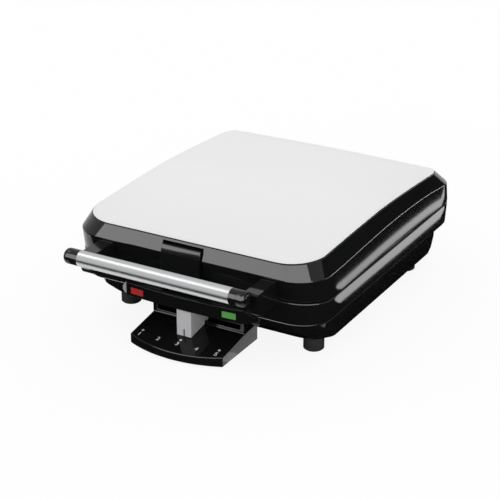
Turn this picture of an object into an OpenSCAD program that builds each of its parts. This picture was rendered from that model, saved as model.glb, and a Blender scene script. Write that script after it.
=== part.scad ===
// Four-square Belgian waffle maker with a latched lid and a sliding browning control.
// Millimetres, +Z up, front towards -Y. The origin is under the middle of the whole object, at table level.

/* [Body] */
// Width of the lid and base over their rims
body_w = 282; // [240:1:340]
// Depth of the lid and base, front rim to rear rim
body_d = 340; // [310:1:390]
// Plan radius of the rim corners
corner_r = 38; // [30:1:44]
// Height of the underside above the table
clear_h = 9.5; // [8:0.5:14]
// Height of the base from its underside to the parting line
base_h = 64; // [60:1:80]
// Height of the base's upright rim below the parting line
base_rim_h = 24; // [20:1:26]
// Wall thickness of the moulded housings
wall = 2.8; // [2:0.1:3.4]
// Gap between the closed lid and base
split_gap = 1; // [0.6:0.1:1.6]

/* [Lid] */
// Height of the lid's upright rim above the parting line
lid_rim_h = 24; // [22:1:30]
// Height of the crown above the rim's crease
crown_h = 21.7; // [18:0.1:26]
// Fall of the crown at the front edge of the steel panel
front_fall = 4.5; // [3:0.1:7]
// Fall of the crown at the rear edge of the steel panel
rear_fall = 8.5; // [3:0.1:10]
// Rise of the crown across the width
side_crown = 1.8; // [0:0.1:3]
// Radius that the panel's rear edge rolls down with
rear_roll = 22; // [18:1:40]
// Plan width of the bevel along the sides
bevel_side = 11; // [8:0.5:14]
// Plan width of the bevel along the front
bevel_front = 6.5; // [5:0.5:9]
// Plan width of the bevel along the rear
bevel_rear = 16.5; // [12:0.5:20]
// Thickness of the steel panel
panel_t = 0.9; // [0.6:0.1:1.4]

/* [Waffle plates] */
// Half thickness of a waffle, from the parting plane to a cavity floor
cavity_h = 13; // [12:0.5:15]
// Stud rows along each side of one waffle
cells = 4; // [3:1:5]
// Height of a stud
stud_h = 10; // [8:0.5:10]
// Narrowest width of the channel between two studs
rib_w = 8; // [7:0.5:10]
// Width of the dividers between the waffles
divider_w = 7; // [5:0.5:9]
// Thickness of the cast plate
plate_t = 3; // [2.5:0.5:4]
// Width of the flange around the cavities
flange_w = 13.5; // [11:0.5:16]

/* [Handle] */
// Diameter of the handle tube
bar_d = 16; // [13:0.5:20]
// Distance from the steel panel's front edge forward to the tube's axis
bar_reach = 62.8; // [55:0.2:76]
// Height of the tube's axis above the parting line
bar_rise = 27.5; // [25:0.5:32]
// Distance between the outer faces of the two arms
arms_w = 199; // [160:1:220]
// Width of one arm
arm_w = 15.2; // [12:0.2:20]
// Distance from the steel panel's front edge forward to the arms' blunt front
arm_reach = 41.5; // [36:0.5:46]

/* [Latch] */
// Width of the latch lever
latch_w = 44; // [36:1:54]
// Distance of the latch from the middle
latch_x = -5.6; // [-12:0.2:12]
// Reach of the catch lip in front of the base wall
lip_reach = 5.2; // [4.6:0.2:5.4]

/* [Controls] */
// Width of the control tongue
tongue_w = 106; // [104:1:126]
// Distance from the steel panel's front edge to the tongue's corners
tongue_reach = 28; // [24:1:34]
// Bow of the tongue's front edge
tongue_bow = 11.6; // [6:0.2:16]
// Distance between two browning settings
step_w = 21.5; // [16:0.5:21.5]
// Width of the slider knob
knob_w = 16.5; // [13:0.5:18]

/* [Feet] */
// Diameter of a rubber foot
foot_d = 21; // [17:0.5:24]
// Distance from the side of the rim to a foot's axis
foot_side = 33; // [30:1:38]

/* [Hinge] */
// Diameter of the hinge pins
pin_d = 5; // [4:0.1:6]
// Distance of each hinge from the middle
hinge_x = 90; // [70:1:94]

/* [Hidden] */
$fn = 48;

// Clearances: pieces that only touch, a running fit, a pressed or screwed fit, and cut overshoot
touch = 0.15;
run_fit = 0.06;
press_fit = 0.03;
panel_gap = 0.25;
over = 1;

// Plan stations, measured from the middle of the steel panel's front edge
front_y = -bevel_front;
rear_y = front_y + body_d;
panel_hw = body_w/2 - bevel_side;
panel_back = rear_y - bevel_rear;
crown_y = 155;
roll_y = panel_back - 20;

// Heights
split_z = clear_h + base_h;
base_top = split_z - split_gap/2;
lid_bottom = split_z + split_gap/2;
base_crease = split_z - base_rim_h;
crease_z = split_z + lid_rim_h;
crown_z = crease_z + crown_h;
base_front = front_y + 7.5;

// Housing details
corner_n = 5;
side_n = 5;
end_n = 3;
edge_r = 1;
crease_swell = 5;
crease_drop = 7;
rim_draft = 1.3;
socket_t = 2;
deck_top = split_z - 4;
deck_t = 3;
rear_deck = body_d - 291;

// Waffle plates
plate_hw = body_w/2 - wall - 3;
plate_f = base_front + wall + 3.5;
plate_b = rear_y - rear_deck - 1;
plate_r = corner_r - wall - 3;
flange_t = 2;
rim_rise = 1.2;
rim_w = 4;
tray_r = 8;
tray_gap = 2;
draft = 1.6;
cav_hw = plate_hw - flange_w;
cav_f = plate_f + flange_w;
cav_b = plate_b - flange_w;
cav_y = (cav_f + cav_b)/2;
cav_floor = split_z - cavity_h;
tray_bottom = cav_floor - plate_t;
waffle_w = cav_hw - divider_w/2;
waffle_d = (cav_b - cav_f - divider_w)/2;

// Element, reflector and what hangs under a plate
element_d = 6.6;
element_z = tray_bottom - touch - element_d/2;
bend_r = 18;
post_d = 10;
post_h = 10;
reflector_t = 1;
reflector_z = tray_bottom - post_h - touch - reflector_t;
reflector_lip = 6;
post_x = cav_hw - 16;
post_f = cav_f + 16;
post_b = cav_b - 16;

// Handle
bar_y = -bar_reach;
bar_z = split_z + bar_rise;
tube_wall = 1.4;
arm_in = arms_w/2 - arm_w;
arm_mid = arms_w/2 - arm_w/2;
arm_low = split_z - 1.5;
arm_top = crease_z - 1.5;
arm_front = -arm_reach;
arm_nose = 8;
eye_w = 8;
eye_out = arm_in + eye_w;
collar_r = 6.4;
collar_l = 2.8;
spigot_l = 8;
rod_d = 4;
nut_r = 4.4;
nut_t = 2.2;
cap_end = arms_w/2 + 1.5;
cap_r = 5;
screw_d = 3.5;
screw_head = 6.4;
screw_zs = [2*split_z - deck_top + deck_t + screw_head/2 + 1, arm_top - screw_head/2 - 0.9];

// Latch
pivot_y = 0.5;
pivot_z = crease_z + 3.5;
boss_r = 5;
latch_pin_d = 3;
latch_face = front_y - 2.7;
latch_t = 3.8;
latch_top = crease_z + 10;
latch_gap = 1.2;
pocket_back = pivot_y + 7;
pocket_low = pivot_z - 13;
pocket_high = pivot_z + 8.6;
lip_t = 3;
lip_top = base_top - 2.6;
lip_front = base_front - lip_reach;
hook_t = 3.2;
hook_top = lip_top - lip_t - 1.4;
hook_tip = lip_front - 1.2;
hook_face = hook_tip - 6.4;
rivet_xs = [latch_x - 12, latch_x + 12];
rivet_z = lip_top - 6.6;
pin_hw = latch_w/2 + latch_gap + wall;

// Controls
fascia_w = 132;
fascia_bow = 3;
fascia_front = base_front - 17.5;
fascia_low = base_crease - 3.5;
fascia_high = base_crease + 10.5;
fascia_sweep = 10;
fascia_r = (fascia_w*fascia_w/4 + fascia_bow*fascia_bow)/(2*fascia_bow);
lens_x = 52.5;
lens_w = 15;
lens_h = 6.5;
lens_z = base_crease + 3;
lens_turn = asin(lens_x/fascia_r);
lens_y = fascia_front + fascia_r - fascia_r*cos(lens_turn);
neck_f = base_front + 13;
neck_b = neck_f + 27;
neck_top = fascia_low;
tongue_low = 2.5;
tongue_rise = 8.5;
tongue_root = 17;
tongue_r = (tongue_w*tongue_w/4 + tongue_bow*tongue_bow)/(2*tongue_bow);
tongue_slope = (tongue_root - tongue_rise)/(neck_f + tongue_reach + tongue_bow);
slot_z = tongue_low + tongue_root + 3.5;
slot_h = 5;
travel = 2*step_w;
stem_w = 8;
knob_f = neck_f - 26.5;
knob_gap = 0.5;
cover_t = 1.6;
tongue_wall = 2.4;
mount_t = 2.6;
carriage_hw = tongue_w/2 - tongue_wall - travel - knob_gap;

// Underside
foot_h = 14;
foot_y = [front_y + 63, rear_y - 60.5];
foot_x = body_w/2 - foot_side;
cover_hw = body_w/2 - 29;
cover_f = foot_y[0] + foot_d/2 + 3;
cover_b = foot_y[1] - foot_d/2 - 3;
cover_r = 16;
lip_w = 10;
vent_w = 4;
vent_l = 32;

// Hinge
axis_y = rear_y + 3.5;
axis_z = split_z;
barrel_r = 6;
leaf_t = 3;
pocket_y = rear_y - 9.5;
pocket_w = 40;
lug_w = 19.2;
hinge_gap = 0.4;

// Rear cord inlet
gland_x = 60;
gland_z = 31;
gland_d = 14;
cord_bore = 8;

// Whole object centred on the origin front to back
front_most = bar_y - bar_d/2;
rear_most = axis_y + barrel_r;
y_shift = -(front_most + rear_most)/2;

black = "#1c1c1e";
steel = "#c9cacc";
coated = "#3a3a3d";

// ---- Shared forms ----

module place() { translate([0, y_shift, 0]) children(); }
module both_sides() { for (s = [-1, 1]) scale([s, 1, 1]) children(); }
module rod_x(r, x0, x1, y, z) { translate([x0, y, z]) rotate([0, 90, 0]) cylinder(r = r, h = x1 - x0); }
module rod_y(r, y0, y1, x, z) { translate([x, y0, z]) rotate([-90, 0, 0]) cylinder(r = r, h = y1 - y0); }
module rod_z(r, z0, z1, x, y) { translate([x, y, z0]) cylinder(r = r, h = z1 - z0); }
module block(x0, x1, y0, y1, z0, z1) { translate([x0, y0, z0]) cube([x1 - x0, y1 - y0, z1 - z0]); }

// Profile drawn in Y and Z, extruded across the width from x0 to x1
module across(x0, x1) {
    translate([x0, 0, 0]) rotate([90, 0, 90]) linear_extrude(x1 - x0) children();
}

// Exact rounded rectangle in plan: half width, front, back, corner radius
module plan(w, f, b, r) {
    translate([-w + r, f]) square([2*w - 2*r, b - f]);
    translate([-w, f + r]) square([2*w, b - f - 2*r]);
    for (x = [-w + r, w - r], y = [f + r, b - r]) translate([x, y]) circle(r);
}

function quarter(cx, cy, r, q, a0) =
    [for (i = [0:corner_n]) [cx + r*cos(a0 + 90*i/corner_n), cy + q*sin(a0 + 90*i/corner_n)]];
function between(a, b, n) = [for (i = [1:n]) a + (b - a)*i/(n + 1)];
// The same outline as points, anticlockwise, with extra points along the straight edges;
// tuck draws the front in and flattens its corners, without moving where they leave the sides
function outline(w, f, b, r, tuck = 0) = concat(
    quarter(w - r, f + r, r, r - tuck, -90), between([w, f + r], [w, b - r], side_n),
    quarter(w - r, b - r, r, r, 0), between([w - r, b], [-w + r, b], end_n),
    quarter(-w + r, b - r, r, r, 90), between([-w, b - r], [-w, f + r], side_n),
    quarter(-w + r, f + r, r, r - tuck, 180), between([-w + r, f + tuck], [w - r, f + tuck], end_n));
function flat(w, f, b, r, z, tuck = 0) = [for (p = outline(w, f, b, r, tuck)) [p[0], p[1], z]];
function middle(ring) = [for (k = [0:2]) (min([for (p = ring) p[k]]) + max([for (p = ring) p[k]]))/2];

// Skin over a run of rings, closed by fans at both ends, or back to the first ring.
// Cross picks the other diagonal of each patch, so that two skins laid on each other match.
module loft(rings, loop = false, cross = false) {
    n = len(rings[0]);
    m = len(rings);
    last = loop ? m - 1 : m - 2;
    sides = [for (i = [0:last], j = [0:n - 1]) let (a = i*n + j, b = i*n + (j + 1)%n,
        c = ((i + 1)%m)*n + j, d = ((i + 1)%m)*n + (j + 1)%n)
        each cross ? [[a, c, b], [b, c, d]] : [[a, c, d], [a, d, b]]];
    caps = loop ? [] : [for (j = [0:n - 1]) each [[m*n, j, (j + 1)%n],
        [m*n + 1, (m - 1)*n + (j + 1)%n, (m - 1)*n + j]]];
    ends = loop ? [] : [middle(rings[0]), middle(rings[m - 1])];
    polyhedron(points = concat([for (r = rings) each r], ends), faces = concat(sides, caps));
}

// Crowned top of the lid, as a height over the plan
function fall(y) = y < crown_y ? front_fall*pow((crown_y - y)/crown_y, 1.4)
    : rear_fall*pow((y - crown_y)/(panel_back - crown_y), 1.5) + pow(max(0, y - roll_y), 2)/(2*rear_roll);
function cross_rise(y) = side_crown*sin(90*max(0, min(1, y/90)));
function crown(x, y) = crown_z - side_crown - fall(y) + cross_rise(y)*(1 - pow(x/panel_hw, 2));
// Crease where the lid's bevel meets its rim
function crease(y) = crease_z + crease_swell*pow(max(0, sin(180*(y - 30)/(body_d - 46))), 1.5)
    - crease_drop*pow(max(0, (y - 230)/(rear_y - 230)), 2);
// Outline drawn in towards the middle of the panel by a share, laid on the crown
function inner_plan(k, inset) = outline(
    (panel_hw - inset)*k, crown_y + (inset - crown_y)*k, crown_y + (panel_back - inset - crown_y)*k,
    (corner_r - 2 - inset)*k);
function crown_ring(k, inset, drop) =
    [for (p = inner_plan(k, inset)) [p[0], p[1], crown(p[0], p[1]) - drop]];
function crease_ring(inset, front, lift) = [for (p = outline(body_w/2 - inset, front_y + front,
    rear_y - inset, corner_r - inset)) [p[0], p[1], crease(p[1]) + lift]];
function blend(a, b, k, out) = [for (i = [0:len(a) - 1]) a[i] + (b[i] - a[i])*k + [0, 0, out]];

// Mirror image in the parting plane
module flip() { translate([0, 0, 2*split_z]) mirror([0, 0, 1]) children(); }

// ---- Housings ----

module deck_ring() {
    difference() {
        plan(body_w/2 - wall/2, base_front + wall/2, rear_y - wall/2, corner_r - wall/2);
        plan(cav_hw + rim_w + tray_gap, cav_f - rim_w - tray_gap, cav_b + rim_w + tray_gap, tray_r + tray_gap);
    }
}

// Ledge that carries a waffle plate, and the raised deck behind it
module decks() {
    translate([0, 0, deck_top - deck_t]) linear_extrude(deck_t) deck_ring();
    translate([0, 0, deck_top - over]) linear_extrude(base_top - 0.4 - deck_top + over) intersection() {
        deck_ring();
        translate([-body_w/2, rear_y - rear_deck]) square([body_w, rear_deck]);
    }
}

module hinge_pocket_wall(z0, z1) {
    both_sides() block(hinge_x - pocket_w/2 - wall, hinge_x + pocket_w/2 + wall,
        pocket_y - wall, rear_y - wall/2, z0, z1);
}

module hinge_pocket_cut(z0, z1) {
    both_sides() block(hinge_x - pocket_w/2, hinge_x + pocket_w/2, pocket_y, rear_y + 10, z0, z1);
}

// Rings of the base: underside, swept lower body, crease, upright rim, and the inside back down
function base_rings() = let (hw = body_w/2, r = corner_r, t = wall, z = clear_h, c = base_crease,
    f = front_y, k = base_front - front_y, u = cover_hw - lip_w)
    [flat(u, cover_f + lip_w, cover_b - lip_w, cover_r, z),
     flat(hw - 19.5, f + 65, rear_y - 19, 24, z, 8),
     flat(hw - 16, f + 51, rear_y - 16, 26, z + 3, 8),
     flat(hw - 13.8, f + 34, rear_y - 13.5, 28, z + 9.5, 8),
     flat(hw - 12, f + 20, rear_y - 11, 30, z + 21, 8),
     flat(hw - 10.5, f + 10, rear_y - 9.5, 33, c - 4, 8),
     flat(hw - rim_draft - edge_r, f + edge_r, rear_y - rim_draft - edge_r, r - rim_draft - edge_r, c - 0.8, k),
     flat(hw - rim_draft, f, rear_y - rim_draft, r - rim_draft, c + 0.6, k),
     flat(hw, f, rear_y, r, base_top - edge_r, k),
     flat(hw - edge_r, f + edge_r, rear_y - edge_r, r - edge_r, base_top, k),
     flat(hw - t, f + t, rear_y - t, r - t, base_top, k),
     flat(hw - rim_draft - t, f + t, rear_y - rim_draft - t, r - rim_draft - t, c + 1.4, k),
     flat(hw - 10.5 - t, f + 10 + t, rear_y - 9.5 - t, 33 - t, c - 2, 8),
     flat(hw - 12 - t, f + 20 + t, rear_y - 11 - t, 30 - t, z + 22, 8),
     flat(hw - 13.8 - t, f + 34 + t, rear_y - 13.5 - t, 28 - t, z + 10.5 + t/2, 8),
     flat(hw - 16.5 - t, f + 51 + t, rear_y - 16 - t, 26 - t, z + 3.5 + t, 8),
     flat(u, cover_f + lip_w, cover_b - lip_w, cover_r, z + t)];

bolt_ys = [cover_f + 14, (cover_f + cover_b)/2, cover_b - 14];
bolt_x = cover_hw - lip_w/2;

module base_housing() color(black) place() difference() {
    union() {
        loft(base_rings(), loop = true);
        decks();
        hinge_pocket_wall(axis_z - 19, base_top - 0.4);
        for (s = [-1, 1], y = bolt_ys) rod_z(3.4, clear_h + over, clear_h + 8, s*bolt_x, y);
        for (s = [-1, 1]) {
            rod_z(foot_d/2, clear_h + 6, foot_h + 5, s*foot_x, foot_y[0]);
            rod_z(foot_d/2 + socket_t, clear_h + wall - 3*touch, foot_h + 5, s*foot_x, foot_y[1]);
        }
    }
    hinge_pocket_cut(axis_z - 16, base_top + over);
    block(-tongue_w/2 - touch, tongue_w/2 + touch, front_y - over, neck_b + touch, 0, neck_top + touch);
    block(-fascia_w/2 + 9, fascia_w/2 - 9, base_front - over, base_front + wall + over,
        base_crease + 2, fascia_high - 3);
    for (s = [-1, 1], y = foot_y) {
        rod_z(foot_d/2 + touch, 0, foot_h + touch, s*foot_x, y);
        rod_z(1.6, 0, foot_h + 3, s*foot_x, y);
    }
    for (s = [-1, 1], y = bolt_ys) rod_z(1.5 + press_fit, 0, clear_h + 6.5, s*bolt_x, y);
    rod_y(gland_d/2 + touch, rear_y - 40, rear_y + over, gland_x, gland_z);
    for (x = rivet_xs) rod_y(1.5 + press_fit, base_front - over, base_front + wall + over, x, rivet_z);
}

// Rings of the lid: its ceiling and inner walls downwards, then its rim, bevel and top upwards
function lid_rings() = let (hw = body_w/2, r = corner_r, t = wall, f = front_y, k = base_front - front_y)
    [crown_ring(0.35, 20, panel_t + panel_gap + t),
     crown_ring(0.75, 20, panel_t + panel_gap + t),
     crown_ring(1, 20, panel_t + panel_gap + t),
     crown_ring(1, 10, panel_t + panel_gap + t),
     crown_ring(1, t, panel_t + panel_gap + t),
     crease_ring(t + 2, t, -t/2),
     flat(hw - t, f + t, rear_y - t, r - t, lid_bottom, k),
     flat(hw - edge_r, f + edge_r, rear_y - edge_r, r - edge_r, lid_bottom, k),
     flat(hw, f, rear_y, r, lid_bottom + edge_r, k),
     crease_ring(1.4, 0.2, -1),
     crease_ring(2, 0.4, 0.6),
     blend(crease_ring(1, 0, 0), crown_ring(1, -1, panel_t), 0.5, 0.5),
     crown_ring(1, -1, panel_t + 0.5),
     crown_ring(1, 0, panel_t + panel_gap),
     crown_ring(1, 5, panel_t + panel_gap),
     crown_ring(1, 11, panel_t + panel_gap),
     crown_ring(1, 20, panel_t + panel_gap),
     crown_ring(0.75, 20, panel_t + panel_gap),
     crown_ring(0.35, 20, panel_t + panel_gap)];

// Pocket behind the latch, its roof sloping down to the rear, and drawn out by its wall
module latch_pocket(grow, front) {
    hw = latch_w/2 + latch_gap + grow;
    across(latch_x - hw, latch_x + hw) polygon([[front, pocket_low - grow],
        [pocket_back + grow, pocket_low - grow], [pocket_back + grow, pocket_high - 2.5 + grow/2],
        [pivot_y - 1.5, pocket_high + grow/2], [front, pocket_high + grow/2]]);
}

module lid_housing() color(black) place() difference() {
    union() {
        loft(lid_rings());
        flip() decks();
        hinge_pocket_wall(lid_bottom + 0.4, axis_z + 19);
        latch_pocket(wall, pivot_y - 1.7);
    }
    hinge_pocket_cut(lid_bottom - over, axis_z + 16);
    latch_pocket(0, front_y - 20);
    rod_x(latch_pin_d/2 + press_fit, latch_x - pin_hw - over, latch_x + pin_hw + over, pivot_y, pivot_z);
    for (x = [-arm_mid, arm_mid], z = screw_zs)
        rod_y(screw_d/2 + touch, front_y - over, base_front + wall + 4, x, z);
}

// Thin steel skin over the lid: its rounded edge stands just proud of the bevel
module lid_panel() color(steel) place() loft([
    crown_ring(0.35, 20, panel_t), crown_ring(0.75, 20, panel_t), crown_ring(1, 20, panel_t),
    crown_ring(1, 11, panel_t), crown_ring(1, 5, panel_t), crown_ring(1, 0.4, panel_t),
    crown_ring(1, 0, panel_t*0.6), crown_ring(1, 0.3, 0.15), crown_ring(1, 1, 0),
    crown_ring(1, 5, 0), crown_ring(1, 11, 0), crown_ring(1, 20, 0),
    crown_ring(0.75, 20, 0), crown_ring(0.35, 20, 0)], cross = true);

module bottom_cover() color(steel) place() difference() {
    translate([0, 0, clear_h - touch - cover_t]) linear_extrude(cover_t)
        plan(cover_hw, cover_f, cover_b, cover_r);
    for (s = [-1, 1], y = bolt_ys) rod_z(1.5 + touch, 0, clear_h, s*bolt_x, y);
    for (x = [-70:20:70], y = [cover_f + 22, cover_b - 22 - vent_l])
        block(x - vent_w/2, x + vent_w/2, y, y + vent_l, 0, clear_h);
}

module bottom_screws() color("silver") place() for (s = [-1, 1], y = bolt_ys) {
    rod_z(3, clear_h - 2*touch - cover_t - 1.8, clear_h - 2*touch - cover_t, s*bolt_x, y);
    rod_z(1.5, clear_h - 2*touch - cover_t - 0.1, clear_h + 6, s*bolt_x, y);
}

module feet() color("#2a2a2c") place() for (s = [-1, 1], y = foot_y) difference() {
    union() {
        rod_z(foot_d/2 - 1, 0, 1, s*foot_x, y);
        rod_z(foot_d/2, 0.9, foot_h, s*foot_x, y);
    }
    rod_z(3.5, -over, 6, s*foot_x, y);
}

// ---- Waffle plates ----

// Row of drafted studs on a slab, as a profile along one direction
module comb(lo, waffle) {
    base_w = (waffle - 2*draft - rib_w*(cells - 1))/cells;
    translate([lo - rim_w, tray_bottom]) square([2*waffle + divider_w + 2*rim_w, plate_t]);
    for (k = [0, 1], i = [0:cells - 1]) {
        a = lo + draft + k*(waffle + divider_w) + i*(base_w + rib_w);
        polygon([[a, cav_floor - 0.5], [a + base_w, cav_floor - 0.5],
            [a + base_w - draft, cav_floor + stud_h], [a + draft, cav_floor + stud_h]]);
    }
}

// Drafted pocket for one waffle, widening towards the parting plane
module cavity(x, y) {
    intersection() {
        translate([x, y, 0]) rotate([90, 0, 0]) linear_extrude(waffle_d + 20, center = true)
            polygon([[-waffle_w/2 + draft, cav_floor], [waffle_w/2 - draft, cav_floor],
                [waffle_w/2 + draft, cav_floor + 2*cavity_h], [-waffle_w/2 - draft, cav_floor + 2*cavity_h]]);
        translate([x, y, 0]) rotate([90, 0, 90]) linear_extrude(waffle_w + 20, center = true)
            polygon([[-waffle_d/2 + draft, cav_floor], [waffle_d/2 - draft, cav_floor],
                [waffle_d/2 + draft, cav_floor + 2*cavity_h], [-waffle_d/2 - draft, cav_floor + 2*cavity_h]]);
    }
}

module grid_plate() {
    difference() {
        union() {
            translate([0, 0, deck_top + touch]) linear_extrude(flange_t)
                plan(plate_hw, plate_f, plate_b, plate_r);
            translate([0, 0, tray_bottom]) linear_extrude(deck_top + touch + flange_t + rim_rise - tray_bottom)
                plan(cav_hw + rim_w, cav_f - rim_w, cav_b + rim_w, tray_r);
        }
        for (x = [-1, 1], y = [-1, 1])
            cavity(x*(waffle_w + divider_w)/2, cav_y + y*(waffle_d + divider_w)/2);
    }
    intersection() {
        translate([0, cav_b + 30, 0]) rotate([90, 0, 0]) linear_extrude(cav_b - cav_f + 60)
            comb(-cav_hw, waffle_w);
        across(-cav_hw, cav_hw) comb(cav_f, waffle_d);
    }
    for (s = [-1, 1], y = [post_f, post_b]) difference() {
        rod_z(post_d/2, tray_bottom - post_h, tray_bottom + 0.5, s*post_x, y);
        rod_z(1.5 + press_fit, tray_bottom - post_h - over, tray_bottom - 2, s*post_x, y);
    }
}

module lower_grid_plate() color(coated) place() grid_plate();
module upper_grid_plate() color(coated) place() flip() grid_plate();

// Quarter or half bend of the element tube about a centre
module bend(x, y, a0, a) {
    translate([x, y, element_z]) rotate([0, 0, a0]) rotate_extrude(angle = a)
        translate([bend_r, 0]) circle(element_d/2);
}

// Tubular heater: both ends leave at the rear, with two bights on each side of the middle
module heating_element() {
    x = [16, 16 + 2*bend_r, 16 + 4*bend_r];
    far = cav_f + 28;
    near = cav_b - 44;
    both_sides() {
        rod_y(element_d/2, far + 24, cav_b + 2, x[0], element_z);
        bend(x[0] + bend_r, far + 24, 180, 180);
        rod_y(element_d/2, far + 24, near, x[1], element_z);
        bend(x[1] + bend_r, near, 0, 180);
        rod_y(element_d/2, far, near, x[2], element_z);
        bend(x[2] - bend_r, far, -90, 90);
    }
    rod_x(element_d/2, -x[2] + bend_r, x[2] - bend_r, far - bend_r, element_z);
}

module lower_heating_element() color("#6b6660") place() heating_element();
module upper_heating_element() color("#6b6660") place() flip() heating_element();

module reflector() {
    difference() {
        translate([0, 0, reflector_z]) linear_extrude(reflector_lip) plan(cav_hw - 2, cav_f + 2, cav_b - 2, 16);
        translate([0, 0, reflector_z + reflector_t]) linear_extrude(reflector_lip)
            plan(cav_hw - 2 - reflector_t, cav_f + 2 + reflector_t, cav_b - 2 - reflector_t, 15);
        for (s = [-1, 1], y = [post_f, post_b]) rod_z(1.5 + touch, 0, split_z, s*post_x, y);
        for (s = [-1, 1]) block(s*16 - 6, s*16 + 6, cav_b - 12, cav_b + 12, reflector_z + 2, split_z);
    }
}

module lower_reflector() color("#b9bcc0") place() reflector();
module upper_reflector() color("#b9bcc0") place() flip() reflector();

module plate_screws() for (s = [-1, 1], y = [post_f, post_b]) {
    rod_z(3.2, reflector_z - touch - 2, reflector_z - touch, s*post_x, y);
    rod_z(1.5, reflector_z - touch - 0.1, tray_bottom - 3, s*post_x, y);
}

module lower_plate_screws() color("silver") place() plate_screws();
module upper_plate_screws() color("silver") place() flip() plate_screws();

// ---- Controls ----

// Bowed fascia, drawn in by an inset: its ends sweep back to the base and down from the top
module fascia_form(inset) {
    hw = fascia_w/2 - inset;
    back = base_front - touch;
    low = fascia_low + inset;
    high = fascia_high - inset;
    intersection() {
        translate([0, 0, low]) linear_extrude(high - low) intersection() {
            translate([0, fascia_front + fascia_r]) circle(fascia_r - inset, $fn = 360);
            polygon([[-hw, fascia_front], [hw, fascia_front], [hw, fascia_front + fascia_bow],
                [hw + fascia_sweep, back - 6], [hw + fascia_sweep, back],
                [-hw - fascia_sweep, back], [-hw - fascia_sweep, back - 6],
                [-hw, fascia_front + fascia_bow]]);
        }
        translate([0, back + over, 0]) rotate([90, 0, 0]) linear_extrude(40)
            polygon([[-hw - fascia_sweep, low], [hw + fascia_sweep, low], [hw + fascia_sweep, base_crease + 1],
                [hw + 1, high], [-hw - 1, high], [-hw - fascia_sweep, base_crease + 1]]);
    }
}

module at_lens(s) { translate([s*lens_x, lens_y, lens_z]) rotate([0, 0, s*lens_turn]) children(); }

module control_fascia() color(black) place() difference() {
    fascia_form(0);
    translate([0, over, 0]) fascia_form(tongue_wall);
    across(-fascia_w, fascia_w) polygon([[fascia_front - over, fascia_high - 1.2],
        [fascia_front + 5, fascia_high + 0.2], [fascia_front - over, fascia_high + 0.2]]);
    for (s = [-1, 1]) at_lens(s) block(-lens_w/2, lens_w/2, -8, 8, -lens_h/2, lens_h/2);
}

module lens() {
    block(-lens_w/2 + touch, lens_w/2 - touch, -0.8, 3, -lens_h/2 + touch, lens_h/2 - touch);
}
module red_lens() color("#c8281e") place() at_lens(-1) lens();
module green_lens() color("#3fae35") place() at_lens(1) lens();

board_y = base_front - 7;
module circuit_board() color("#1f6b3a") place() {
    block(-fascia_w/2 + 4, fascia_w/2 - 4, board_y, board_y + 1.6,
        fascia_low + tongue_wall + touch, fascia_high - tongue_wall - touch - 1.5);
    block(-6, 6, board_y + 1.6, board_y + 6, fascia_low + 4, fascia_high - 5);
    rod_y(2.8, board_y - 5, board_y + 0.1, 22, lens_z - 1);
}
module indicator_lamps() color("#e8e2d0") place()
    for (s = [-1, 1]) rod_y(2.2, lens_y + 4.6, board_y - touch, s*lens_x, lens_z);

// Plan of the tongue: straight sides and a bowed front edge
module tongue_plan(inset) {
    hw = tongue_w/2 - inset;
    intersection() {
        translate([0, -tongue_reach - tongue_bow + tongue_r]) circle(tongue_r - inset, $fn = 180);
        translate([-hw, -tongue_reach - tongue_bow - over])
            square([2*hw, neck_b - inset + tongue_reach + tongue_bow + over]);
    }
}

// Side profile of the tongue and neck, drawn in by an inset
function tongue_top(y) = tongue_low + tongue_rise + (y + tongue_reach + tongue_bow)*tongue_slope;
module tongue_side(inset) {
    f = -tongue_reach - tongue_bow - over;
    polygon([[f, tongue_low], [neck_b + over, tongue_low], [neck_b + over, neck_top - inset],
        [neck_f + inset, neck_top - inset], [neck_f + inset, tongue_top(neck_f) - inset],
        [f, tongue_top(f) - inset]]);
}

module control_tongue() color(black) place() difference() {
    intersection() {
        linear_extrude(neck_top + over) tongue_plan(0);
        across(-tongue_w, tongue_w) tongue_side(0);
    }
    intersection() {
        linear_extrude(neck_top + over) tongue_plan(tongue_wall);
        translate([0, 0, -0.01]) across(-tongue_w, tongue_w) tongue_side(tongue_wall);
    }
    block(-travel - stem_w/2 - 1, travel + stem_w/2 + 1, neck_f - over, neck_f + tongue_wall + over,
        slot_z, slot_z + slot_h);
    translate([0, 0, tongue_low - over]) linear_extrude(cover_t + over) tongue_plan(tongue_wall/2);
}

module control_cover() color(black) place() difference() {
    translate([0, 0, tongue_low]) linear_extrude(cover_t - touch) tongue_plan(tongue_wall/2 + touch);
    for (s = [-1, 1], y = [-12, neck_b - 9]) rod_z(1.5 + touch, 0, 10, s*(tongue_w/2 - 9), y);
}

module control_screws() color("silver") place()
    for (s = [-1, 1], y = [-12, neck_b - 9]) {
        rod_z(2.6, tongue_low - 1.5, tongue_low - touch, s*(tongue_w/2 - 9), y);
        rod_z(1.5, tongue_low - 0.2, tongue_low + 5, s*(tongue_w/2 - 9), y);
    }

module knob_side() polygon([[knob_f, tongue_top(knob_f) + knob_gap], [neck_f - knob_gap, tongue_top(neck_f) + knob_gap],
    [neck_f - knob_gap, neck_top - knob_gap - 0.4], [knob_f + 2, neck_top - knob_gap - 0.4],
    [knob_f, neck_top - knob_gap - 2.4]]);

module slider_knob() color("#c4c5c8") place() difference() {
    union() {
        across(-knob_w/2, knob_w/2) knob_side();
        block(-stem_w/2, stem_w/2, neck_f - over, neck_f + tongue_wall + 1, slot_z + knob_gap,
            slot_z + slot_h - knob_gap);
    }
    block(-0.7, 0.7, knob_f - over, knob_f + 0.6, tongue_top(knob_f), tongue_top(knob_f) + 8);
}

module slider_carriage() color("#e6e3da") place() translate([0, neck_f + tongue_wall, 0]) {
    block(-carriage_hw, carriage_hw, 1 + press_fit, 6, slot_z - 2, slot_z + slot_h + 2);
    block(-2, 2, 5, 9, slot_z + 1, slot_z + slot_h - 1);
}

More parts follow.
